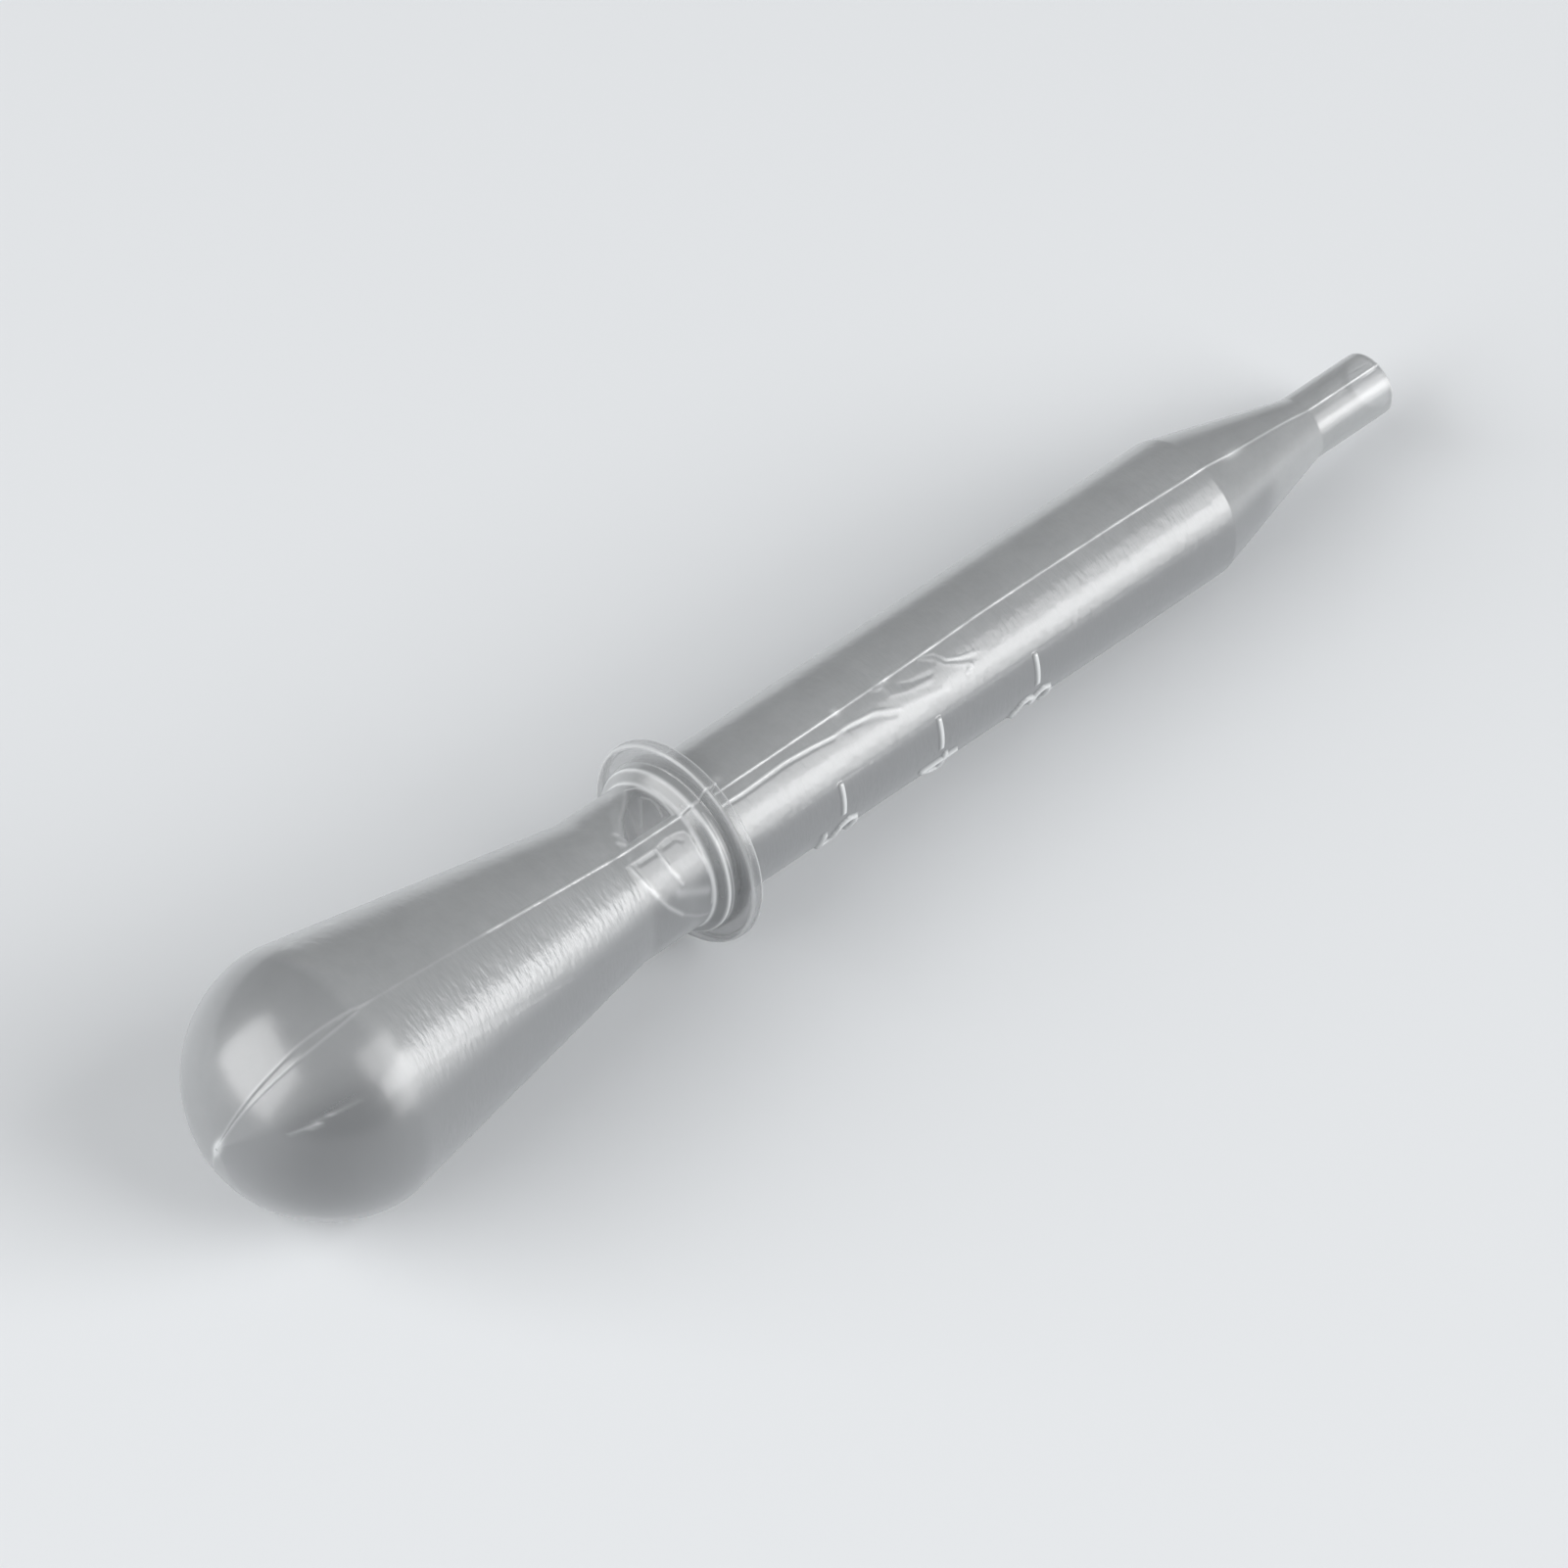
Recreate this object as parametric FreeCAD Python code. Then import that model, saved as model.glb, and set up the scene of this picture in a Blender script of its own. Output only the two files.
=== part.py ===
import FreeCAD, Part
import math
import os

# One blow-moulded dropper pipette: squeeze bulb, neck, finger flange, graduated
# barrel, shoulder and tip tube, all one hollow skin of low-density polyethylene.
# Sizes are in mm. Lengths follow the axis from the end of the bulb to the tip.

# Outside of the skin
BULB_RADIUS = 10.63        # half-ball end of the bulb, as wide as the bulb gets
CONE_LENGTH = 27.37        # bulb narrowing to the neck
NECK_RADIUS = 6.05
NECK_LENGTH = 6.2
HUB_RADIUS = 6.9           # collar that backs the flange on the bulb side
HUB_BEVEL = 0.75           # length of the collar's sloping end
HUB_LENGTH = 1.65          # neck end to flange, bevel included
FLANGE_RADIUS = 8.45
FLANGE_THICKNESS = 1.1
RIM_BEVEL = 0.2            # breaks both edges of the flange
BARREL_RADIUS = 6.0
BARREL_LENGTH = 54.35
SHOULDER_LENGTH = 13.7
TIP_RADIUS = 2.7
TIP_LENGTH = 8.3

# Thickness of the skin
BULB_WALL = 0.65
NECK_WALL = 0.9
FLANGE_WALL = 0.45         # each of the two leaves that the flange is folded from
BARREL_WALL = 0.5
TIP_WALL = 0.65

# Parting line of the mould: a fine raised rib down two opposite sides
SEAM_ANGLE = 106.0         # degrees about the axis, from +Y towards +Z
SEAM_HEIGHT = 0.1
SEAM_WIDTH = 0.25
NUB_LENGTH = 2.4           # pinch-off left at the end of the bulb
NUB_HEIGHT = 0.2
NUB_WIDTH = 0.5

# Graduation bars, one millilitre apart
MARK_FROM_FLANGE = 10.95   # flange to the bar nearest to it
MARK_COUNT = 3
MARK_VOLUME = 1000.0       # mm3 between bars
MARK_WIDTH = 0.5           # at its foot; its top is half as wide
MARK_HEIGHT = 0.2
MARK_ANGLE = 153.0         # degrees where a bar begins
MARK_SPAN = 28.0           # degrees it covers

# Bends of the skin, measured on the side that curves more tightly
NECK_BEND = 6.0            # outside, where the bulb's cone runs into the neck
SHOULDER_BEND = 0.3        # inside, barrel into shoulder
TIP_BEND = 1.0             # outside, shoulder into tip tube

FLAT_DEPTH = 0.04          # how far the soft skin gives where it lies on the table

# Where each stretch begins along the axis
CONE_START = BULB_RADIUS
NECK_START = CONE_START + CONE_LENGTH
HUB_START = NECK_START + NECK_LENGTH
FLANGE_START = HUB_START + HUB_LENGTH
BARREL_START = FLANGE_START + FLANGE_THICKNESS
SHOULDER_START = BARREL_START + BARREL_LENGTH
TIP_START = SHOULDER_START + SHOULDER_LENGTH
TOTAL_LENGTH = TIP_START + TIP_LENGTH

AXIS_START = FreeCAD.Vector(0, 0, 0)
ALONG = FreeCAD.Vector(1, 0, 0)


def at(station, radius):
    """A profile point: distance along the axis and distance from it."""
    return FreeCAD.Vector(station, radius, 0)


def line_edges(points):
    return [Part.makeLine(a, b) for a, b in zip(points, points[1:])]


def corner(station, radius, bend=0.0):
    """A profile point with the radius that rounds it off; 0 leaves it sharp."""
    return at(station, radius), bend


def bent_edges(corners):
    """Straight walls between the corners, with a tangent arc at each that has a bend."""
    edges = []
    start = corners[0][0]
    for (before, _), (point, bend), (after, _) in zip(corners, corners[1:], corners[2:]):
        into, out = point - before, after - point
        half = into.getAngle(out) / 2
        room = 0.45 * min(into.Length, out.Length)
        reach = min(bend * math.tan(half), room)
        if reach == 0:
            edges.append(Part.makeLine(start, point))
            start = point
            continue
        into.normalize()
        out.normalize()
        towards_centre = (out - into).normalize()
        middle = point + towards_centre * (reach * (1 - math.cos(half)) / math.sin(half))
        begin, end = point - into * reach, point + out * reach
        edges.append(Part.makeLine(start, begin))
        edges.append(Part.Arc(begin, middle, end).toShape())
        start = end
    edges.append(Part.makeLine(start, corners[-1][0]))
    return edges


def profile_face(radius, corners):
    """Half section: round end of that radius, then a chain of walls with bends."""
    pole, ring = at(CONE_START - radius, 0), at(CONE_START, radius)
    middle = at(CONE_START - radius * math.sqrt(0.5), radius * math.sqrt(0.5))
    dome = Part.Arc(pole, middle, ring).toShape()
    walls = bent_edges([(ring, 0.0)] + corners + [(pole, 0.0)])
    return Part.Face(Part.Wire([dome] + walls))


def outer_corners(raised=0.0):
    """Corners of the outside, from the neck to the tip; raised lifts them."""
    front, back = FLANGE_START - raised, BARREL_START + raised
    rim = FLANGE_RADIUS + raised
    return [
        corner(NECK_START, NECK_RADIUS + raised, NECK_BEND),
        corner(HUB_START, NECK_RADIUS + raised),
        corner(HUB_START + HUB_BEVEL, HUB_RADIUS + raised),
        corner(front, HUB_RADIUS + raised),
        corner(front, rim - RIM_BEVEL),
        corner(front + RIM_BEVEL, rim),
        corner(back - RIM_BEVEL, rim),
        corner(back, rim - RIM_BEVEL),
        corner(back, BARREL_RADIUS + raised),
        corner(SHOULDER_START, BARREL_RADIUS + raised, SHOULDER_BEND + BARREL_WALL),
        corner(TIP_START, TIP_RADIUS + raised, TIP_BEND),
        corner(TOTAL_LENGTH, TIP_RADIUS + raised),
        corner(TOTAL_LENGTH, 0),
    ]


def inner_corners():
    """Corners of the hollow; it opens into the fold of the flange."""
    neck = NECK_RADIUS - NECK_WALL
    barrel = BARREL_RADIUS - BARREL_WALL
    tip = TIP_RADIUS - TIP_WALL
    fold_start = FLANGE_START + FLANGE_WALL
    fold_end = BARREL_START - FLANGE_WALL
    hub = HUB_RADIUS - NECK_WALL
    return [
        corner(NECK_START, neck, NECK_BEND + NECK_WALL),
        corner(HUB_START, neck),
        corner(HUB_START + HUB_BEVEL, hub),
        corner(fold_start, hub),
        corner(fold_start, FLANGE_RADIUS - FLANGE_WALL),
        corner(fold_end, FLANGE_RADIUS - FLANGE_WALL),
        corner(fold_end, hub),
        corner(fold_end + (hub - barrel), barrel),
        corner(SHOULDER_START, barrel, SHOULDER_BEND),
        corner(TIP_START, tip, TIP_BEND + TIP_WALL),
        corner(TOTAL_LENGTH, tip),
        corner(TOTAL_LENGTH, 0),
    ]


def turned(face):
    return face.revolve(AXIS_START, ALONG, 360)


def outside():
    return turned(profile_face(BULB_RADIUS, outer_corners()))


def hollow():
    return turned(profile_face(BULB_RADIUS - BULB_WALL, inner_corners()))


def slab(face, width):
    """The face given a width, centred on its own plane."""
    plate = face.extrude(FreeCAD.Vector(0, 0, width))
    plate.translate(FreeCAD.Vector(0, 0, -width / 2))
    return plate


def seam():
    """Raised rib on both sides of the parting plane, round the bulb's end too."""
    outline = profile_face(BULB_RADIUS + SEAM_HEIGHT, outer_corners(SEAM_HEIGHT))
    upper = slab(outline, SEAM_WIDTH)
    lower = upper.mirror(AXIS_START, FreeCAD.Vector(0, 1, 0))
    return [on_parting_plane(upper), on_parting_plane(lower)]


def pinch_nub():
    """Low blister of plastic where the mould nipped the end of the bulb shut."""
    half = NUB_LENGTH / 2
    edge = Part.Arc(at(0, -half), at(-NUB_HEIGHT, 0), at(0, half)).toShape()
    inside = BULB_RADIUS - math.sqrt(BULB_RADIUS ** 2 - half ** 2) + BULB_WALL / 2
    back = line_edges([at(0, half), at(inside, half), at(inside, -half), at(0, -half)])
    return on_parting_plane(slab(Part.Face(Part.Wire([edge] + back)), NUB_WIDTH))


def on_parting_plane(shape):
    shape.rotate(AXIS_START, ALONG, SEAM_ANGLE)
    return shape


def mark_stations():
    """One millilitre of the barrel's bore lies between neighbouring bars."""
    bore = BARREL_RADIUS - BARREL_WALL
    step = MARK_VOLUME / (math.pi * bore ** 2)
    return [BARREL_START + MARK_FROM_FLANGE + i * step for i in range(MARK_COUNT)]


def graduation(station):
    """Raised bar with sloping sides, bent about the barrel and rooted in its wall."""
    foot, crest = MARK_WIDTH / 2, MARK_WIDTH / 4
    root, top = BARREL_RADIUS - BARREL_WALL / 2, BARREL_RADIUS + MARK_HEIGHT
    section = [
        at(station - foot, root),
        at(station - foot, BARREL_RADIUS),
        at(station - crest, top),
        at(station + crest, top),
        at(station + foot, BARREL_RADIUS),
        at(station + foot, root),
        at(station - foot, root),
    ]
    face = Part.Face(Part.makePolygon(section))
    face.rotate(AXIS_START, ALONG, MARK_ANGLE)
    return face.revolve(AXIS_START, ALONG, MARK_SPAN)


def rest_tilt():
    """Degrees the axis dips towards the tip until a second ring meets the table."""
    flange, shoulder = (BARREL_START, FLANGE_RADIUS), (SHOULDER_START, BARREL_RADIUS)
    rings = [flange, shoulder, (TOTAL_LENGTH, TIP_RADIUS)]
    dips = [math.atan2(BULB_RADIUS - radius, s - CONE_START) for s, radius in rings]
    return math.degrees(min(dips))


def laid_down(shape):
    """Lying at rest on z = 0, centred over the origin, flattened where it touches."""
    shape.rotate(AXIS_START, FreeCAD.Vector(0, 1, 0), rest_tilt())
    box = shape.optimalBoundingBox(False)
    lowered = -box.ZMin - FLAT_DEPTH
    shape.translate(FreeCAD.Vector(-box.Center.x, -box.Center.y, lowered))
    below = FreeCAD.Vector(-TOTAL_LENGTH, -BULB_RADIUS, -BULB_RADIUS)
    table = Part.makeBox(2 * TOTAL_LENGTH, 2 * BULB_RADIUS, BULB_RADIUS, below)
    return shape.cut(table).Solids[0]


def dropper():
    ribs = seam() + [pinch_nub()] + [graduation(s) for s in mark_stations()]
    return laid_down(outside().multiFuse(ribs).cut(hollow()))


os.makedirs("parts", exist_ok=True)
dropper().exportStep("parts/dropper_pipette.step")
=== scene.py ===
import math

import bpy
import numpy as np
from mathutils import Matrix, Vector


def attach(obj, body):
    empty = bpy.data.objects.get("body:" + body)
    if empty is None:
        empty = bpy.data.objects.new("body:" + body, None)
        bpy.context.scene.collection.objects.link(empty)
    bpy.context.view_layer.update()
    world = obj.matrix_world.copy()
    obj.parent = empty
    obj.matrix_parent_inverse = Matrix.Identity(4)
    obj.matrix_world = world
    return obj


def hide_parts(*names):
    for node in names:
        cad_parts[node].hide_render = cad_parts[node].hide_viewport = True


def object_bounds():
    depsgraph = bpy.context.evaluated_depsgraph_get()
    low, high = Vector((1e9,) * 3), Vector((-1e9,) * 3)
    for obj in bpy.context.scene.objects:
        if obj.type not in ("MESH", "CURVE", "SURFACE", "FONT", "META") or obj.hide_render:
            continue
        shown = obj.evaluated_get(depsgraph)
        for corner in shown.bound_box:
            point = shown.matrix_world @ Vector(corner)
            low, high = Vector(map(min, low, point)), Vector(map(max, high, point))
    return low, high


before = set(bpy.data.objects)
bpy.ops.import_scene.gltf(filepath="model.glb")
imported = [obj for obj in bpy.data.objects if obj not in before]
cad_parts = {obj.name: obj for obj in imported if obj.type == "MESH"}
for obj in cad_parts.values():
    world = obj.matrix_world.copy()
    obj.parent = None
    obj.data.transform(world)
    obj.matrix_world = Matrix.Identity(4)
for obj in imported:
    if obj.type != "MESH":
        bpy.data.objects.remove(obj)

# A blow-moulded dropper pipette of natural low-density polyethylene, one hollow skin.
# Sizes are in mm along and round the dropper's own axis; "station" is the distance
# from the end of the bulb, and angles turn about the axis from +Y towards +Z.

MM = 0.001
cad_low, cad_high = [np.array(corner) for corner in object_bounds()]

# Outside of the skin
BULB_RADIUS = 10.63
NECK_RADIUS = 6.05
HUB_RADIUS = 6.9
HUB_BEVEL = 0.75
FLANGE_RADIUS = 8.45
BARREL_RADIUS = 6.0
TIP_RADIUS = 2.7
CONE_START = 10.63
NECK_START = 38.0
HUB_START = 44.2
FLANGE_START = 45.85
BARREL_START = 46.95
SHOULDER_START = 101.3
TIP_START = 115.0
TOTAL_LENGTH = 123.3

# Thickness of the skin
BULB_WALL = 0.65
NECK_WALL = 0.9
FLANGE_WALL = 0.45
BARREL_WALL = 0.5
TIP_WALL = 0.65

FLAT_DEPTH = 0.04
TILT = math.atan2(BULB_RADIUS - BARREL_RADIUS, SHOULDER_START - CONE_START)

# Parting line and graduation
SEAM_HEIGHT = 0.1
SEAM_HALF = 0.1
BAR_STATIONS = (57.9, 68.423, 78.945)
BAR_HEIGHT = 0.2
BAR_HALF = 0.2
BAR_SOFT = 0.16
BAR_START, BAR_END = 153.0, 181.0
BAR_END_SOFT = 2.0
DIGIT_TALL = 3.6
DIGIT_WIDE = 2.3
DIGIT_RIGHT = 190.0
DIGIT_HEIGHT = 0.26
DIGIT_HALF = 0.24
DIGIT_SOFT = 0.22
NUB_HEIGHT = 0.2
EDGE_HALF = 0.16           # of a painted highlight line at a sharp edge of the profile

# Milkiness of one crossing of the skin's two faces
HAZE_OUTSIDE = 0.85
HAZE_INSIDE = 0.25
RIB_HAZE = 0.6

# Rings left by turning the mould, and the plastic's cloudiness
RINGS_PER_MM = 2.6
RING_STRETCH = 0.35        # against their spacing, round the axis
RING_DEPTH = 0.05
CLOUD_SIZE = 6.25
PLASTIC_IOR = 1.51

# How finely the surface is drawn
FILLET_POINTS = 9
DOME_POINTS = 120
PATH_SAMPLES = 60001
ANGLE_SAMPLES = 36001
NORMAL_REACH = 0.04
FLOOR_HALF = 3.0           # metres


def linear(hex_colour):
    """sRGB hex to linear RGBA."""
    rgb = [int(hex_colour[i:i + 2], 16) / 255 for i in (1, 3, 5)]
    return [c / 12.92 if c <= 0.04045 else ((c + 0.055) / 1.055) ** 2.4 for c in rgb] + [1.0]


# ---- the skin's profile: one path from the bulb's end round the mouth to the inside ----

def filleted(corners):
    """Chain of straight walls between (station, radius, bend) corners.

    Each corner is a parabola that leaves one wall and meets the next at bend x tan(turn / 2)
    from it, at most 0.45 of the shorter wall: (1-u)^2 start + 2u(1-u) corner + u^2 end.
    """
    pts = [np.array(corners[0][:2])]
    u = np.linspace(0, 1, FILLET_POINTS)[:, None]
    for before, here, after in zip(corners, corners[1:], corners[2:]):
        a, p, b = (np.array(c[:2], float) for c in (before, here, after))
        wall_in, wall_out = np.linalg.norm(p - a), np.linalg.norm(b - p)
        into, out = (p - a) / wall_in, (b - p) / wall_out
        turn = math.acos(max(-1.0, min(1.0, float(into @ out))))
        reach = min(here[2] * math.tan(turn / 2), 0.45 * wall_in, 0.45 * wall_out)
        start, end = p - into * reach, p + out * reach
        pts.extend((1 - u) ** 2 * start + 2 * u * (1 - u) * p + u ** 2 * end)
    pts.append(np.array(corners[-1][:2], float))
    return np.array(pts)


def dome(radius):
    """Quarter circle from the pole to the bulb's widest ring, about the ball's centre."""
    turn = np.linspace(0, math.pi / 2, DOME_POINTS)
    return np.stack([CONE_START - radius * np.cos(turn), radius * np.sin(turn)], 1)


def outer_walls():
    """Outside from the bulb's widest ring to the middle of the mouth's rim."""
    return filleted([
        (CONE_START, BULB_RADIUS, 0),
        (NECK_START, NECK_RADIUS, 6.0),
        (HUB_START, NECK_RADIUS, 0.5),
        (HUB_START + HUB_BEVEL, HUB_RADIUS, 0.35),
        (FLANGE_START, HUB_RADIUS, 0.25),
        (FLANGE_START, FLANGE_RADIUS, 0.5),
        (BARREL_START, FLANGE_RADIUS, 0.25),
        (BARREL_START, BARREL_RADIUS, 0.3),
        (SHOULDER_START, BARREL_RADIUS, 0.8),
        (TIP_START, TIP_RADIUS, 1.0),
        (TOTAL_LENGTH, TIP_RADIUS, 0.1),
        (TOTAL_LENGTH, TIP_RADIUS - TIP_WALL / 2, 0),
    ])


def inner_walls():
    """Inside from the mouth back to the bulb, out into the fold of the flange and back."""
    hub, bore = HUB_RADIUS - NECK_WALL, BARREL_RADIUS - BARREL_WALL
    fold_from, fold_to = FLANGE_START + FLANGE_WALL, BARREL_START - FLANGE_WALL
    return filleted([
        (TOTAL_LENGTH, TIP_RADIUS - TIP_WALL / 2, 0),
        (TOTAL_LENGTH, TIP_RADIUS - TIP_WALL, 0.1),
        (TIP_START, TIP_RADIUS - TIP_WALL, 1.65),
        (SHOULDER_START, bore, 0.3),
        (fold_to + (hub - bore), bore, 0.2),
        (fold_to, hub, 0.05),
        (fold_to, FLANGE_RADIUS - FLANGE_WALL, 0.05),
        (fold_from, FLANGE_RADIUS - FLANGE_WALL, 0.05),
        (fold_from, hub, 0.1),
        (HUB_START + HUB_BEVEL, hub, 0.3),
        (HUB_START, NECK_RADIUS - NECK_WALL, 0.5),
        (NECK_START, NECK_RADIUS - NECK_WALL, 6.9),
        (CONE_START, BULB_RADIUS - BULB_WALL, 0),
    ])


# Where rings of the grid lie closer: from station, to station, gap outside, gap inside.
# No gap inside leaves it as it was. Later lines win.
RING_BANDS = (
    (HUB_START - 0.4, BARREL_START + 0.6, 0.12, 0.3),
    (NECK_START - 0.8, HUB_START - 0.4, 0.13, None),
    (-1.0, 2.0, 0.16, None),
    (63.5, 74.0, 0.18, None),
)


def spacing(station, outside):
    """How far apart the rings of the grid lie, in mm: close where there is fine detail."""
    gap = np.where(outside, 0.55, 1.6)
    for start, end, gap_outside, gap_inside in RING_BANDS:
        inside = gap if gap_inside is None else gap_inside
        held = (station > start) & (station < end)
        gap = np.where(held, np.where(outside, gap_outside, inside), gap)
    for bar in BAR_STATIONS:
        off = abs(station - bar)
        gap = np.where(outside & (off < 2.2), np.where(off < 0.45, 0.08, 0.2), gap)
    for corner in (SHOULDER_START, TIP_START, TOTAL_LENGTH):
        gap = np.where(abs(station - corner) < 0.6, np.where(outside, 0.12, 0.3), gap)
    return gap


def evenly(count, samples):
    """Samples at whole steps of a running count."""
    return np.interp(np.linspace(0, count[-1], int(count[-1]) + 1), count, samples)


def skin_path():
    """Rings of the closed skin: station, radius, outward normal and whether it is outside.

    The normal is the path's direction turned a quarter: (-change of radius, change of station).
    """
    out = np.concatenate([dome(BULB_RADIUS)[:-1], outer_walls()])
    back = np.concatenate([inner_walls()[1:], dome(BULB_RADIUS - BULB_WALL)[-2::-1]])
    path = np.concatenate([out, back])
    step = np.linalg.norm(np.diff(path, axis=0), axis=1)
    path = path[np.concatenate([[True], step > 1e-9])]
    step = np.linalg.norm(np.diff(path, axis=0), axis=1)
    along = np.concatenate([[0], np.cumsum(step)])
    mouth = along[np.argmin(np.linalg.norm(path - out[-1], axis=1))]

    def at(distance, column):
        """Station (column 0) or radius (column 1) at that distance along the path."""
        return np.interp(distance, along, path[:, column])

    fine = np.linspace(0, along[-1], PATH_SAMPLES)
    per_sample = (fine[1] - fine[0]) / spacing(at(fine, 0), fine < mouth)
    rows = evenly(np.concatenate([[0], np.cumsum(per_sample)[:-1]]), fine)
    ds = at(rows + NORMAL_REACH, 0) - at(rows - NORMAL_REACH, 0)
    dr = at(rows + NORMAL_REACH, 1) - at(rows - NORMAL_REACH, 1)
    size = np.hypot(ds, dr)
    return at(rows, 0), at(rows, 1), -dr / size, ds / size, rows < mouth


# From angle, to angle and how far apart the columns lie between them, in degrees
COLUMN_BANDS = (
    (58, 100, 1.4), (100, 112, 0.5), (112, 124, 0.75), (124, 150, 1.6), (150, 155, 0.9),
    (155, 186, 1.8), (186, 216, 1.3), (283.5, 288.5, 0.7))
WIDEST_COLUMN = 8.0


def columns():
    """Angles round the axis in degrees: close together at the parting line and the marks."""
    fine = np.linspace(0, 360, ANGLE_SAMPLES)
    gap = np.full(fine.shape, WIDEST_COLUMN)
    for start, end, width in COLUMN_BANDS:
        gap = np.where((fine >= start) & (fine < end), width, gap)
    return evenly(np.concatenate([[0], np.cumsum(0.01 / gap)[:-1]]), fine)[:-1]


# ---- relief of the outside, in mm above the profile, over station and angle ----

def bell(distance, half_width):
    """1 in the middle, falling as e^-(distance / half width) squared."""
    return np.exp(-(distance / half_width) ** 2)


def between(value, low, high, soft):
    """1 between low and high, 0 beyond; each end is a smooth step t^2 (3 - 2t) of width soft."""
    rise = np.clip((value - low) / soft + 0.5, 0, 1)
    fall = np.clip((high - value) / soft + 0.5, 0, 1)
    return rise ** 2 * (3 - 2 * rise) * fall ** 2 * (3 - 2 * fall)


def wobble(station, seed, period):
    """Smooth irregular run of numbers between about -1 and 1 along the axis."""
    rng = np.random.default_rng(seed)
    knots = np.arange(-5, TOTAL_LENGTH + 5, period)
    values = rng.uniform(-1, 1, knots.size)
    return np.interp(station, knots, values)


# (station, angle) points that the upper parting line runs through
SEAM_POINTS = (
    (0, 106), (10, 107.2), (24, 107.0), (38, 107.6), (47, 108.0), (55, 107.6), (61, 107.2),
    (70, 106.3), (76, 104.8), (82, 104.6), (93, 105.4), (99, 106.6), (105, 107.0),
    (112, 103.8), (123, 104.0))


def seam_line(station):
    """Angle of the upper parting line, which wanders slightly as the two halves met."""
    stations, angles = zip(*SEAM_POINTS)
    return np.interp(station, stations, angles)


def parting_ribs(station, radius, angle):
    """Two fine ribs on opposite sides, uneven in height, with a pinched end at the bulb.

    Each is a bell over the distance aside of the parting plane. On the dome the upper one
    opens into a leaf: a bell at each border and a shallow groove between them.
    """
    across = np.radians(angle - seam_line(station))
    aside, ahead = radius * np.sin(across), radius * np.cos(across)
    upper_side = np.where(ahead > 0, 1.0, 0.0)
    on_dome = between(station, -5, 10.2, 0.8)
    uneven = 0.7 + 0.3 * wobble(station, 3, 0.9)
    faded = 1 - 0.8 * between(station, 10.8, 23.0, 4.0)
    upper = upper_side * faded
    under = np.where(ahead <= 0, 1.0, 0.0) * np.where(station > NECK_START, 1.0, 0.55)
    strength = upper * (1 - on_dome) + under
    rib = SEAM_HEIGHT * uneven * bell(aside, SEAM_HALF) * strength
    widens = np.clip(station / 9.9, 0, 1) ** 0.5
    closes = np.clip((10.4 - station) / 5.0, 0, 1) ** 0.6
    half_leaf = 0.55 * widens * closes
    groove = 0.03 * bell(aside, np.maximum(half_leaf * 0.6, 0.08))
    leaf = upper_side * on_dome * (bell(abs(aside) - half_leaf, 0.13) * 0.035 - groove)
    nub = NUB_HEIGHT * bell(ahead, 1.0) * bell(aside, 0.3) * between(station, -5, 1.5, 0.6)
    return rib + leaf + nub
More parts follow.
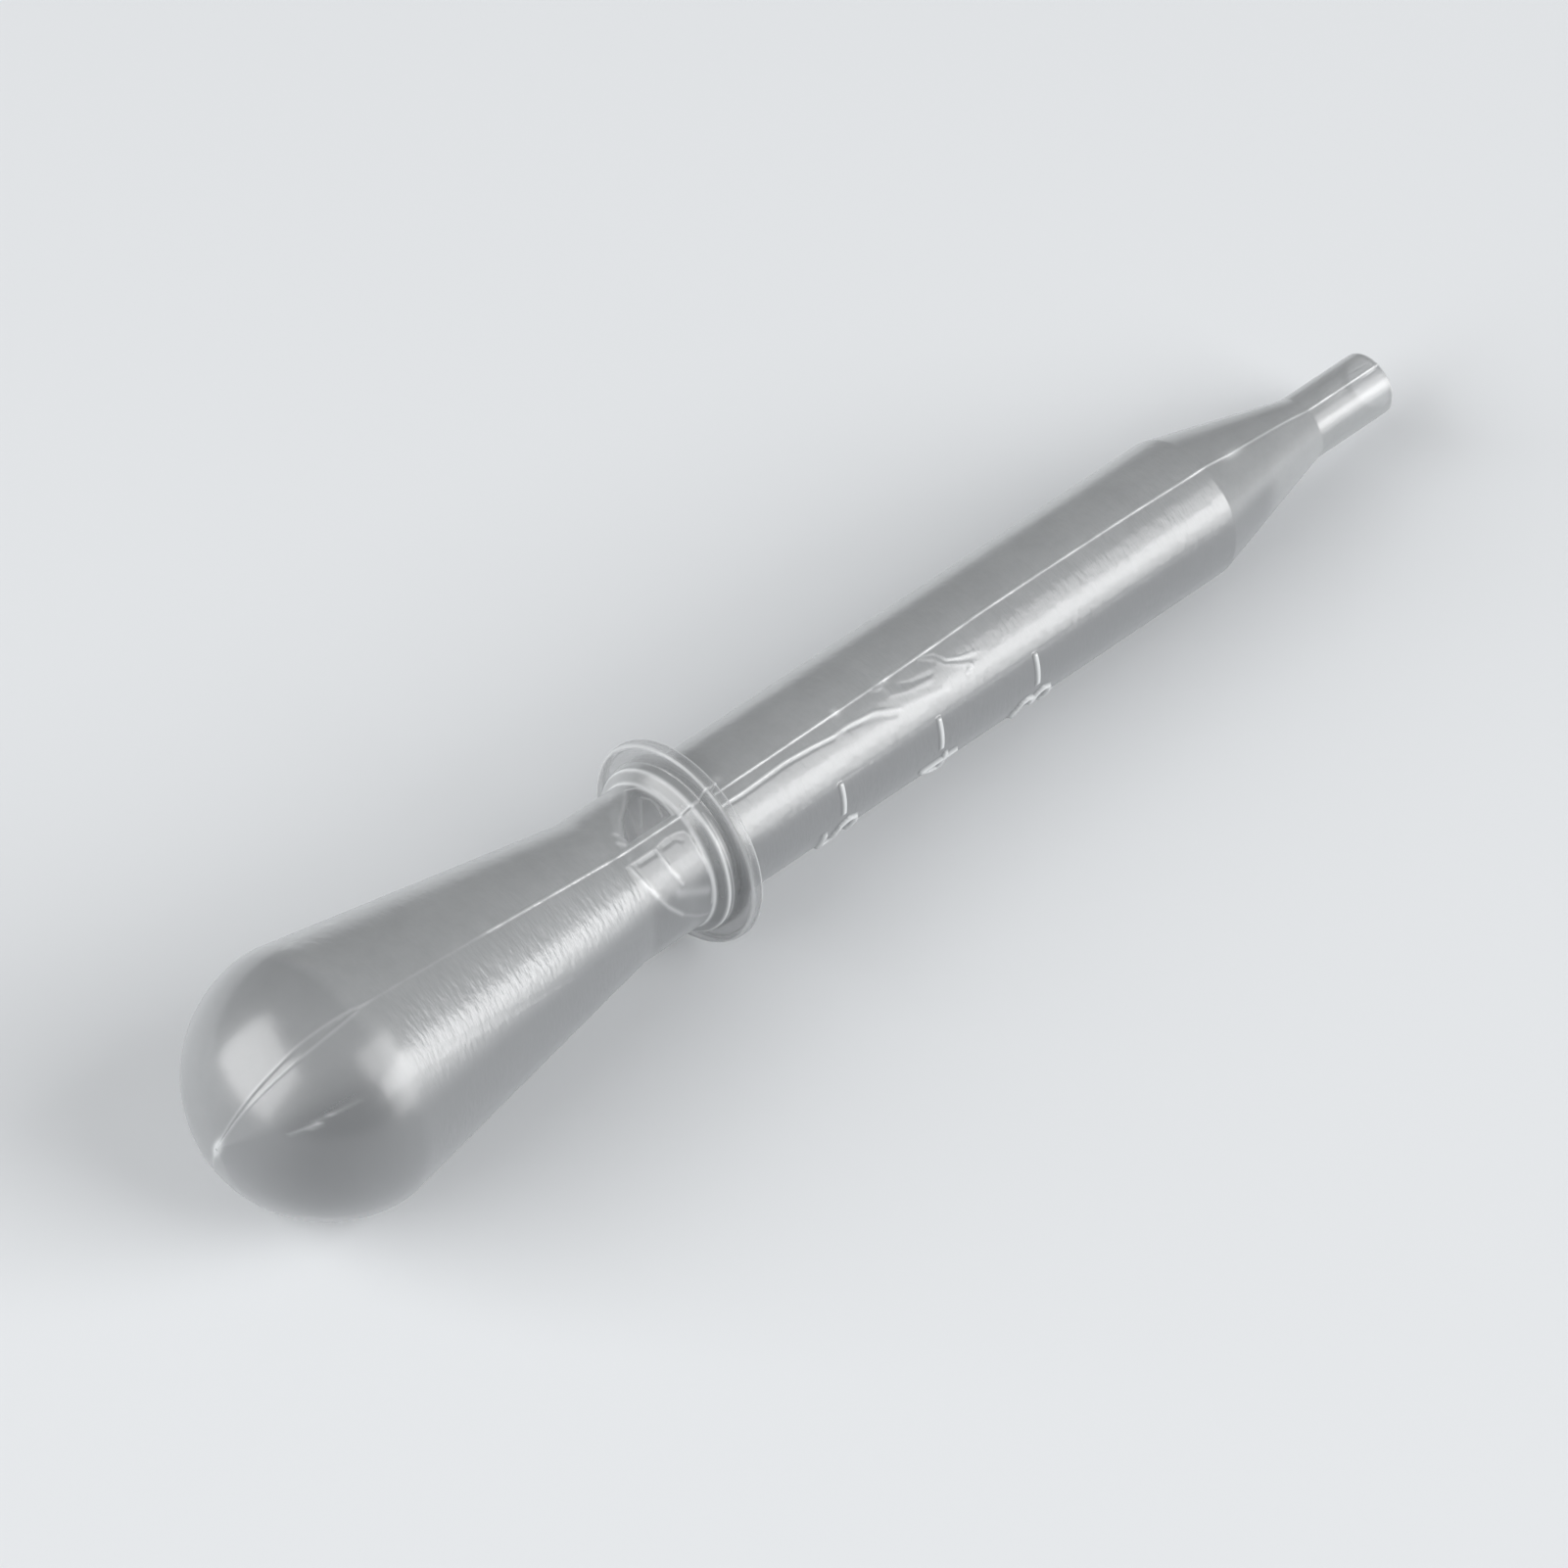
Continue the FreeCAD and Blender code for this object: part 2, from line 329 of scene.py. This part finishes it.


# Creases where the soft tube folded as the mould shut on it: height, half width, how white it
# looks from 0 to 1, and the (station, angle) points that it runs through. The whiteness is in
# part whiter plastic in the fold and in part a painted highlight where the fold catches light.
# A height below 0 is a groove.
CREASES = (
    # barrel: beside the parting line from the flange, then out into the highlight
    (0.045, 0.085, 0.65, ((47.2, 117.6), (49.9, 118.0), (54.2, 116.6), (57.0, 118.3),
                          (59.1, 120.4))),
    (-0.03, 0.12, 0, ((47.4, 120.2), (49.9, 120.8), (54.2, 119.4), (57.0, 121.1),
                      (59.1, 123.0))),
    (0.045, 0.16, 0.3, ((59.1, 120.4), (60.6, 119.6), (61.8, 121.0), (63.3, 122.5),
                        (65.5, 131.0))),
    (-0.04, 0.16, 0, ((60.4, 122.6), (61.8, 124.0), (63.1, 126.0), (64.8, 133.0))),
    # leaf: the wall bulges between two lines that leave the parting line together
    (0.035, 0.2, 0.15, ((64.3, 108.0), (65.2, 111.0), (65.4, 119.0), (66.8, 123.5),
                        (69.2, 126.0))),
    (-0.03, 0.22, 0, ((65.7, 109.0), (66.4, 115.0), (67.6, 119.5), (69.6, 122.5))),
    (0.025, 0.42, 0.1, ((65.8, 130.0), (68.0, 134.0), (70.1, 139.0))),
    # tongue: two lines that run together into a small hook
    (0.035, 0.13, 0.3, ((69.6, 107.6), (70.7, 111.0), (71.4, 120.0), (72.5, 124.0),
                        (74.0, 127.0))),
    (0.04, 0.14, 0.2, ((69.4, 108.6), (70.4, 114.0), (71.0, 122.0), (72.2, 128.0),
                       (73.1, 132.0), (73.0, 135.0), (72.4, 137.0))),
    (-0.035, 0.18, 0, ((70.8, 113.0), (71.3, 121.0), (72.4, 126.0), (73.6, 130.0))),
    # fine line under the highlight, on the barrel and on the bulb
    (-0.007, 0.14, 0, ((52.0, 151.5), (60.0, 152.0), (78.0, 152.5), (99.0, 153.0))),
    (-0.02, 0.16, 0, ((12.5, 139.0), (17.4, 142.0), (26.5, 151.0), (32.4, 158.0), (36.5, 166.0))),
    # neck, one side: an arch along the parting line and two ridges across
    (0.03, 0.1, 0.35, ((37.8, 117.0), (38.7, 117.0), (40.7, 117.0), (41.9, 115.0),
                       (43.0, 116.0), (43.6, 118.0), (43.8, 124.0), (43.7, 134.0),
                       (43.9, 148.0), (44.0, 159.0), (43.9, 180.0))),
    (-0.04, 0.2, 0, ((38.8, 120.5), (40.4, 120.5))),
    (-0.04, 0.2, 0, ((41.4, 120.0), (42.6, 119.5), (43.0, 123.0))),
    (0.05, 0.15, 0.35, ((38.0, 118.5), (38.3, 131.0), (38.7, 145.0), (39.6, 159.0), (40.8, 172.0))),
    (0.015, 0.24, 0.6, ((38.3, 131.0), (38.5, 138.0), (38.9, 147.0))),
    (0.02, 0.14, 0.15, ((40.8, 172.0), (42.6, 185.0), (43.7, 191.0))),
    (0.045, 0.14, 0.4, ((40.7, 118.0), (40.8, 124.0), (40.9, 137.0), (41.4, 150.0))),
    (0.01, 0.2, 0.5, ((40.8, 126.0), (40.9, 137.0), (41.2, 144.0))),
    (0.02, 0.4, 0.25, ((40.9, 155.0), (41.8, 158.0), (43.5, 166.0))),
    # neck, other side: the ragged border of a thinner patch
    (0.02, 0.14, 0.25, ((39.2, 102.0), (39.2, 98.0), (39.6, 93.0), (40.3, 85.0),
                        (41.6, 76.0), (42.6, 68.0), (43.3, 61.0))),
    (0.04, 0.13, 0.6, ((43.3, 61.0), (43.9, 66.0), (44.0, 74.0), (44.0, 90.0), (43.8, 104.0))),
    (0.02, 0.12, 0.3, ((43.2, 78.0), (43.5, 84.0), (43.4, 91.0), (43.0, 101.0))),
    (0.015, 0.14, 0.22, ((43.0, 79.0), (42.0, 89.0), (41.0, 99.0))),
    (0.04, 0.18, 0.45, ((39.0, 92.0), (39.1, 93.5))),
    (0.04, 0.18, 0.45, ((38.6, 99.5), (38.9, 103.0))),
    # collar: two fine rings
    (0.035, 0.07, 0.45, ((45.0, 112.0), (45.0, 205.0))),
    (0.035, 0.07, 0.4, ((45.34, 116.0), (45.34, 200.0))),
    (-0.03, 0.07, 0, ((45.17, 112.0), (45.17, 205.0))),
    # mouth: the pinch of the parting line
    (-0.06, 0.2, 0, ((121.2, 90.0), (122.2, 92.0), (122.6, 98.0))),
    (-0.06, 0.2, 0, ((121.4, 112.0), (122.4, 110.0))),
    # scuffs along the bulb's shoulder
    (0.015, 0.1, 0.35, ((10.5, 62.0), (12.5, 57.0), (14.0, 57.0))),
    (0.015, 0.1, 0.35, ((15.5, 56.0), (18.0, 53.0), (20.0, 53.5))),
    (0.015, 0.1, 0.3, ((19.0, 48.0), (23.0, 46.0))),
    # trace of the far parting line through the dome
    (0.015, 0.1, 0.35, ((2.2, 141.0), (3.5, 140.5))),
    (0.02, 0.2, 0.5, ((3.4, 140.8), (3.7, 140.2))),
    (0.015, 0.09, 0.4, ((4.0, 139.5), (5.1, 138.2), (6.9, 138.0))),
)
# Small lumps on the parting line: station, degrees off it, height and half length
LUMPS = (
    (60.6, 0.0, 0.1, 0.35), (104.8, 0.6, 0.09, 1.1), (65.4, 1.0, 0.06, 0.6),
    (48.6, -8.0, 0.07, 0.3))
LUMP_HALF = 0.3
LUMP_WHITENESS = 6.0       # for each mm of height


def crease_shape(station, angle, half, points):
    """1 along that chain of points to 0 beside it: a bell over the distance along the skin."""
    middle = points[len(points) // 2][0]
    if middle < CONE_START:
        size = math.sqrt(2 * BULB_RADIUS * middle - middle ** 2)
    else:
        size = float(np.interp(middle, [CONE_START, NECK_START], [BULB_RADIUS, NECK_RADIUS]))
    chain = [(s, size * math.radians(a)) for s, a in points]
    return bell(stroke_distance(station, size * np.radians(angle), chain), half)


def flow_marks(station, radius, angle):
    """Height and whiteness of all creases, with the lumps on the parting line."""
    height, pale = np.zeros(station.shape), np.zeros(station.shape)
    for high, half, white, points in CREASES:
        shape = crease_shape(station, angle, half, points)
        height += high * shape
        pale = np.maximum(pale, white * shape)
    for spot, off, high, length in LUMPS:
        aside = radius * np.radians(angle - seam_line(station) - off)
        lump = bell(station - spot, length) * bell(aside, LUMP_HALF)
        height += high * lump
        pale = np.maximum(pale, LUMP_WHITENESS * high * lump)
    return height, pale


def graduation_bars(station, angle):
    """Short raised bars with soft shoulders, one millilitre apart."""
    bars = sum(between(station, bar - BAR_HALF, bar + BAR_HALF, BAR_SOFT) for bar in BAR_STATIONS)
    return BAR_HEIGHT * bars * between(angle, BAR_START, BAR_END, BAR_END_SOFT)


# Strokes of each figure: across its width and up its height, both from 0 to 1
DIGITS = {
    3: [[(0.0, 0.93), (0.25, 1.0), (0.62, 1.0), (0.9, 0.88), (0.95, 0.72), (0.8, 0.57),
         (0.42, 0.52)],
        [(0.42, 0.52), (0.85, 0.46), (1.0, 0.28), (0.9, 0.1), (0.6, 0.0), (0.22, 0.0),
         (0.0, 0.09)]],
    4: [[(0.8, 0.0), (0.8, 1.0), (0.0, 0.33), (1.0, 0.33)]],
    5: [[(0.92, 1.0), (0.15, 1.0), (0.08, 0.56), (0.45, 0.62), (0.85, 0.53), (1.0, 0.32),
         (0.88, 0.1), (0.5, 0.0), (0.0, 0.08)]],
}


def stroke_distance(x, y, stroke):
    """Distance in mm from each point to a chain of straight strokes."""
    near = np.full(x.shape, 1e9)
    for (ax, ay), (bx, by) in zip(stroke, stroke[1:]):
        ux, uy = bx - ax, by - ay
        t = np.clip(((x - ax) * ux + (y - ay) * uy) / (ux * ux + uy * uy), 0, 1)
        near = np.minimum(near, np.hypot(x - ax - t * ux, y - ay - t * uy))
    return near


def numerals(station, angle):
    """Raised 5, 4 and 3 beside their bars, upright when the tip points down."""
    raised = np.zeros(station.shape)
    for bar, digit in zip(BAR_STATIONS, (5, 4, 3)):
        x = DIGIT_WIDE - BARREL_RADIUS * np.radians(angle - DIGIT_RIGHT)
        y = bar + DIGIT_TALL / 2 - station
        for stroke in DIGITS[digit]:
            scaled = [(px * DIGIT_WIDE, py * DIGIT_TALL) for px, py in stroke]
            off = stroke_distance(x, y, scaled)
            raised = np.maximum(raised, DIGIT_HEIGHT * between(off, -1, DIGIT_HALF, DIGIT_SOFT))
    return raised


def relief(station, radius, angle):
    """Height of all that stands up from or sinks into the outside, and how white it looks."""
    marks, pale = flow_marks(station, radius, angle)
    raised = np.maximum(graduation_bars(station, angle), numerals(station, angle))
    ribs = parting_ribs(station, radius, angle)
    white = np.clip(0.8 * raised / BAR_HEIGHT, 0, 0.8) + np.clip(5.5 * ribs, 0, 0.6)
    return ribs + marks + raised, np.maximum(pale, white)


# ---- mesh ----

def placed(station, radius, angle):
    """Points of the lying dropper in metres, held inside the frame's own box.

    Each is start + station x ahead + radius x (cos(angle) across + sin(angle) above). The hold
    presses the underside flat on the table and trims the ribs' last 0.05 mm at the ends.
    """
    across, turn = np.array([0.0, 1.0, 0.0]), np.radians(angle)
    ahead = np.array([math.cos(TILT), 0.0, -math.sin(TILT)])
    above = np.array([math.sin(TILT), 0.0, math.cos(TILT)])
    end = cad_high[0] / MM - TOTAL_LENGTH * ahead[0] - TIP_RADIUS * above[0]
    rise = BULB_RADIUS * above[2] - FLAT_DEPTH - CONE_START * ahead[2]
    start = np.array([end, 0.0, rise])
    sideways = (radius * np.cos(turn))[..., None] * across
    upward = (radius * np.sin(turn))[..., None] * above
    points = (start + station[..., None] * ahead + (sideways + upward)) * MM
    return np.clip(points, cad_low, cad_high)


# Corners of the profile with a painted highlight, a pale line in the colour: station, radius and
# half width
PAINTED_HIGHLIGHT_EDGES = (
    (HUB_START, NECK_RADIUS, EDGE_HALF), (HUB_START + HUB_BEVEL, HUB_RADIUS, EDGE_HALF),
    (FLANGE_START, FLANGE_RADIUS, 0.28), (BARREL_START, FLANGE_RADIUS, 0.22),
    (BARREL_START, BARREL_RADIUS, EDGE_HALF), (TOTAL_LENGTH, TIP_RADIUS, EDGE_HALF))


def whiteness(station, radius, white):
    """0 on plain skin to 1 on the thickest ribs, with painted highlights as fine pale lines at the
    sharp edges.
    """
    lines = sum(bell(np.hypot(station - s, radius - r), half)
                for s, r, half in PAINTED_HIGHLIGHT_EDGES)
    return np.clip(white + 0.9 * lines, 0, 1)


def thin_patch(station, angle):
    """1 inside the thinner patch of the neck beside the parting line."""
    left = np.interp(angle, [61, 76, 85, 95, 103], [43.3, 41.6, 40.3, 39.3, 39.1])
    return between(station, left, 43.7, 0.3) * between(angle, 62, 103.5, 2.0)


def haze(station, radius, angle, whiter_ribs_and_painted_highlights, outside):
    """How milky the skin is: clearer at the neck, clearest in the flange, denser in ribs."""
    milk = np.where(outside, HAZE_OUTSIDE, HAZE_INSIDE)
    clearer = 1 - 0.25 * between(station, NECK_START, BARREL_START + 0.6, 1.2)
    in_flange = between(station, HUB_START + 1.2, BARREL_START + 0.2, 0.2)
    disc = np.clip((radius - HUB_RADIUS) / 0.3, 0, 1) * in_flange
    patch = 0.35 * thin_patch(station, angle)
    return milk * clearer * (1 - 0.72 * disc) * (1 - patch) + RIB_HAZE * whiter_ribs_and_painted_highlights


def painted_shade_at(station, angle):
    """Painted shade, 0 to 1, that darkens the colour: at the bulb's round end, along the low side,
    in the thin patch.
    """
    # painted shade on the bulb's round end and its low part, where little light is reflected
    end = 0.55 * between(station, -5, 9.6, 1.2)
    low_end = 0.45 * between(station, -5, 9.2, 2.0) * between(angle, 132, 250, 12.0)
    # painted shade along the low side, which faces away from the lamps
    low_side = between(station, 8.0, SHOULDER_START + 6, 3.0) * between(angle, 152, 280, 14.0)
    # the thinner neck patch also gets painted shade, for the darkness seen through its thinner wall
    return np.clip(end + low_end + low_side + 0.5 * thin_patch(station, angle), 0, 1)


def skin_faces(rows, cols):
    """Quads between neighbouring rings and columns, and triangles that close both poles."""
    near = np.arange(rows * cols).reshape(rows, cols)
    beside = np.roll(near, -1, axis=1)
    quads = np.stack([near[:-1], near[1:], beside[1:], beside[:-1]], -1).reshape(-1, 4)
    first = np.stack([np.full(cols, rows * cols), near[0], beside[0]], -1)
    last = np.stack([np.full(cols, rows * cols + 1), beside[-1], near[-1]], -1)
    return quads.tolist() + first.tolist() + last.tolist()


def skin_mesh():
    """Closed grid of rings and columns, with a point at each pole of the bulb.

    The profile is turned round the axis, and the relief moves each outside point along the
    profile's normal: station + normal x height, radius + normal x height.
    """
    s, r, ns, nr, outside = (values[1:-1] for values in skin_path())
    station, angle = np.meshgrid(s, columns(), indexing="ij")
    radius = np.broadcast_to(r[:, None], station.shape)
    height, white = relief(station, radius, angle)
    seen = outside[:, None]
    height = np.where(seen, height, 0.0)
    grid = placed(station + ns[:, None] * height, radius + nr[:, None] * height, angle)
    poles = placed(np.array([-NUB_HEIGHT, BULB_WALL]), np.zeros(2), np.zeros(2))
    rows, cols = station.shape
    mesh = bpy.data.meshes.new("dropper_skin")
    points = np.concatenate([grid.reshape(-1, 3), poles])
    mesh.from_pydata(points.tolist(), [], skin_faces(rows, cols))
    # whiter colour of thicker ribs and bars, with painted highlights at sharp edges and in the
    # creases
    whiter_ribs_and_painted_highlights = np.where(seen, whiteness(station, radius, white), 0.0)
    milk = haze(station, radius, angle, whiter_ribs_and_painted_highlights, seen)
    # painted shade for the base colour: bulb end, low side and thin neck patch
    painted_shade_amount = np.where(seen, painted_shade_at(station, angle), 0.0)
    straight = between(station, CONE_START + 1, SHOULDER_START, 3.0)
    turned = np.where(seen, 0.15 + 0.85 * straight, 0.0)
    # name, value at each point, and the values at the outer and the inner pole
    looks = (("whiter_ribs_and_painted_highlights", whiter_ribs_and_painted_highlights, (0, 0)), ("haze", milk, (HAZE_OUTSIDE, HAZE_INSIDE)),
             ("painted_shade_amount", painted_shade_amount, (0.55, 0)), ("turned", turned, (0, 0)))
    for name, values, ends in looks:
        data = np.append(values.ravel(), ends).astype(np.float32)
        mesh.attributes.new(name, "FLOAT", "POINT").data.foreach_set("value", data)
    blown = np.repeat(~outside[:-1], cols)
    slots = np.concatenate([blown, np.zeros(cols, bool), np.ones(cols, bool)])
    mesh.polygons.foreach_set("material_index", slots.astype(np.int32))
    mesh.shade_smooth()
    mesh.update()
    return mesh


# ---- materials ----

def node(tree, kind, links=(), **settings):
    """Adds a node, sets its properties and inputs, and joins inputs to other nodes' outputs."""
    made = tree.nodes.new(kind)
    for name, value in settings.items():
        if name in made.inputs:
            made.inputs[name].default_value = value
        else:
            setattr(made, name, value)
    for name, source in dict(links).items():
        tree.links.new(source, made.inputs[name])
    return made


def new_material(name):
    """Empty node material, and its tree."""
    material = bpy.data.materials.new(name)
    material.use_nodes = True
    material.node_tree.nodes.clear()
    return material, material.node_tree


def milky(tree, plastic, haze):
    """Opacity that grows with the length of skin looked through: 1 - e^(-haze / cosine).

    The cosine is 1.03 - Facing, which never reaches 0 at the skin's outline.
    """
    facing = node(tree, "ShaderNodeLayerWeight", Blend=0.5).outputs["Facing"]
    cosine = node(tree, "ShaderNodeMath", {1: facing}, operation="SUBTRACT")
    cosine.inputs[0].default_value = 1.03
    depth = node(tree, "ShaderNodeMath", {0: haze, 1: cosine.outputs[0]}, operation="DIVIDE")
    clear = node(tree, "ShaderNodeMath", {1: depth.outputs[0]}, operation="POWER")
    clear.inputs[0].default_value = math.exp(-1)
    milk = node(tree, "ShaderNodeMath", {1: clear.outputs[0]}, operation="SUBTRACT")
    milk.inputs[0].default_value = 1.0
    tree.links.new(milk.outputs[0], plastic.inputs["Alpha"])


def moulded_polyethylene():
    """Uncoloured low-density polyethylene against the mould: milky and satin, lets light through.

    The rings left by turning the mould ripple the lights' edges, and thicker ribs look whiter.
    Painted shade darkens the colour in places; painted highlights whiten sharp edges and creases.
    """
    material, tree = new_material("natural_polyethylene_moulded")

    def painted(name):
        """Value that skin_mesh gave each point under that name."""
        return node(tree, "ShaderNodeAttribute", attribute_name=name).outputs["Fac"]

    place = node(tree, "ShaderNodeTexCoord").outputs["Object"]
    along = node(tree, "ShaderNodeMapping", {"Vector": place},
                 Rotation=(0.0, -TILT, 0.0), Scale=(1.0, RING_STRETCH, RING_STRETCH))
    rings = node(tree, "ShaderNodeTexNoise", {"Vector": along.outputs["Vector"]},
                 Scale=RINGS_PER_MM / MM, Detail=2.0)
    cloud = node(tree, "ShaderNodeTexNoise", {"Vector": place},
                 Scale=1 / (CLOUD_SIZE * MM), Detail=6.0, Roughness=0.72)
    tone = node(tree, "ShaderNodeMix", {"Factor": cloud.outputs["Fac"]}, data_type="RGBA")
    tone.inputs[6].default_value = linear("#888a8b")
    tone.inputs[7].default_value = linear("#abadae")
    # painted shade: the colour darkens towards #7d7f81 where skin_mesh put it
    with_painted_shade = node(tree, "ShaderNodeMix", {"Factor": painted("painted_shade_amount"), 6: tone.outputs[2]},
                  data_type="RGBA")
    with_painted_shade.inputs[7].default_value = linear("#7d7f81")
    # whiter towards #e4e6e7 on thicker ribs, with painted highlights at edges and creases
    whiter = node(tree, "ShaderNodeMix", {"Factor": painted("whiter_ribs_and_painted_highlights"), 6: with_painted_shade.outputs[2]},
                  data_type="RGBA")
    whiter.inputs[7].default_value = linear("#e4e6e7")
    satin = node(tree, "ShaderNodeMapRange", {"Value": cloud.outputs["Fac"]})
    satin.inputs["To Min"].default_value = 0.29
    satin.inputs["To Max"].default_value = 0.38
    bump = node(tree, "ShaderNodeBump",
                {"Height": rings.outputs["Fac"], "Strength": painted("turned")},
                Distance=RING_DEPTH * MM)
    plastic = node(tree, "ShaderNodeBsdfPrincipled", {
        "Base Color": whiter.outputs[2], "Roughness": satin.outputs["Result"],
        "Normal": bump.outputs["Normal"], "Coat Normal": bump.outputs["Normal"]})
    plastic.inputs["IOR"].default_value = PLASTIC_IOR
    plastic.inputs["Specular IOR Level"].default_value = 1.0
    plastic.inputs["Coat Weight"].default_value = 1.0
    plastic.inputs["Coat Roughness"].default_value = 0.19
    plastic.inputs["Coat IOR"].default_value = 1.6
    milky(tree, plastic, painted("haze"))
    node(tree, "ShaderNodeOutputMaterial", {"Surface": plastic.outputs["BSDF"]})
    return material


def blown_polyethylene():
    """The same plastic inside, where the air shaped it: smooth, a little glossier, and clearer."""
    material, tree = new_material("natural_polyethylene_blown")
    plastic = node(tree, "ShaderNodeBsdfPrincipled", Roughness=0.3)
    plastic.inputs["Base Color"].default_value = linear("#b0b2b3")
    plastic.inputs["IOR"].default_value = PLASTIC_IOR
    plastic.inputs["Specular IOR Level"].default_value = 1.0
    milky(tree, plastic, node(tree, "ShaderNodeAttribute", attribute_name="haze").outputs["Fac"])
    node(tree, "ShaderNodeOutputMaterial", {"Surface": plastic.outputs["BSDF"]})
    return material


def pale_floor():
    """Painted board with no gloss: even in tone, so the clear plastic stands out against it."""
    material, tree = new_material("pale_board")
    board = node(tree, "ShaderNodeBsdfPrincipled")
    board.inputs["Base Color"].default_value = linear("#dadcde")
    board.inputs["Roughness"].default_value = 0.9
    board.inputs["Specular IOR Level"].default_value = 0.0
    node(tree, "ShaderNodeOutputMaterial", {"Surface": board.outputs["BSDF"]})
    return material


# ---- pieces ----

def dropper():
    """The whole dropper: one skin, moulded outside and blown inside."""
    piece = bpy.data.objects.new("dropper", skin_mesh())
    bpy.context.collection.objects.link(piece)
    piece.data.materials.append(moulded_polyethylene())
    piece.data.materials.append(blown_polyethylene())
    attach(piece, "root")
    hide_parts("dropper_pipette")


def floor():
    """Flat board that the dropper lies on."""
    half = FLOOR_HALF
    corners = [(-half, -half, 0), (half, -half, 0), (half, half, 0), (-half, half, 0)]
    mesh = bpy.data.meshes.new("floor")
    mesh.from_pydata(corners, [], [(0, 1, 2, 3)])
    board = bpy.data.objects.new("floor", mesh)
    bpy.context.collection.objects.link(board)
    mesh.materials.append(pale_floor())


# ---- light and camera ----

# name, azimuth from +X, elevation, width, height (m), watts and roll; three strips of one
# tall key light, brightest in the middle, and a broad fill from the other side
LAMP_DISTANCE = 1.5
LAMPS = (
    ("key_low", -58, 4, 1.35, 0.5, 6.2, -10),
    ("key_mid", -58, 22, 1.35, 0.45, 11.9, -14),
    ("key_high", -60, 43, 1.25, 0.65, 8.2, -22),
    ("fill", 156, 28, 1.8, 1.38, 29.0, 0),
)
SKY_STRENGTH = 0.27


def soft_box(name, azimuth, elevation, width, height, watts, roll):
    """Rectangular soft lamp that faces the dropper from that azimuth and elevation."""
    lamp = bpy.data.lights.new(name, "AREA")
    lamp.shape, lamp.size, lamp.size_y, lamp.energy = "RECTANGLE", width, height, watts
    a, e = math.radians(azimuth), math.radians(elevation)
    toward = Vector((math.cos(a) * math.cos(e), math.sin(a) * math.cos(e), math.sin(e)))
    holder = bpy.data.objects.new(name, lamp)
    turn = Matrix.Rotation(math.radians(roll), 4, "Z")
    facing = toward.to_track_quat("Z", "Y").to_matrix().to_4x4() @ turn
    holder.matrix_world = Matrix.Translation(toward * LAMP_DISTANCE) @ facing
    bpy.context.collection.objects.link(holder)


def sky(strength):
    """Even pale light from everywhere."""
    world = bpy.data.worlds.new("studio")
    world.use_nodes = True
    back = world.node_tree.nodes["Background"]
    back.inputs["Color"].default_value = linear("#f2f4f6")
    back.inputs["Strength"].default_value = strength
    bpy.context.scene.world = world


VIEW_AZIMUTH, VIEW_ELEVATION, VIEW_ROLL = 42.511, 47.909, 3.52
VIEW_CENTRE = (-4.818, -0.775, 8.0)
VIEW_DISTANCE = 0.64194    # metres
VIEW_LENS = 195.93


def camera():
    """Looks down along the dropper from behind the bulb, slightly rolled."""
    az, el, roll = (math.radians(v) for v in (VIEW_AZIMUTH, VIEW_ELEVATION, VIEW_ROLL))
    back = Vector((-math.cos(az) * math.cos(el), -math.sin(az) * math.cos(el), math.sin(el)))
    right = (-back).cross(Vector((0, 0, 1))).normalized()
    up = back.cross(right)
    side = right * math.cos(roll) + up * math.sin(roll)
    head = up * math.cos(roll) - right * math.sin(roll)
    place = Vector(VIEW_CENTRE) * MM + back * VIEW_DISTANCE
    view = bpy.data.cameras.new("camera")
    view.lens, view.sensor_width, view.clip_start = VIEW_LENS, 36.0, 0.01
    holder = bpy.data.objects.new("camera", view)
    turned = Matrix((side, head, back)).transposed().to_4x4()
    holder.matrix_world = Matrix.Translation(place) @ turned
    bpy.context.collection.objects.link(holder)
    bpy.context.scene.camera = holder


dropper()
floor()
for lamp_facts in LAMPS:
    soft_box(*lamp_facts)
sky(SKY_STRENGTH)
camera()
bpy.context.scene.view_settings.view_transform = "Standard"
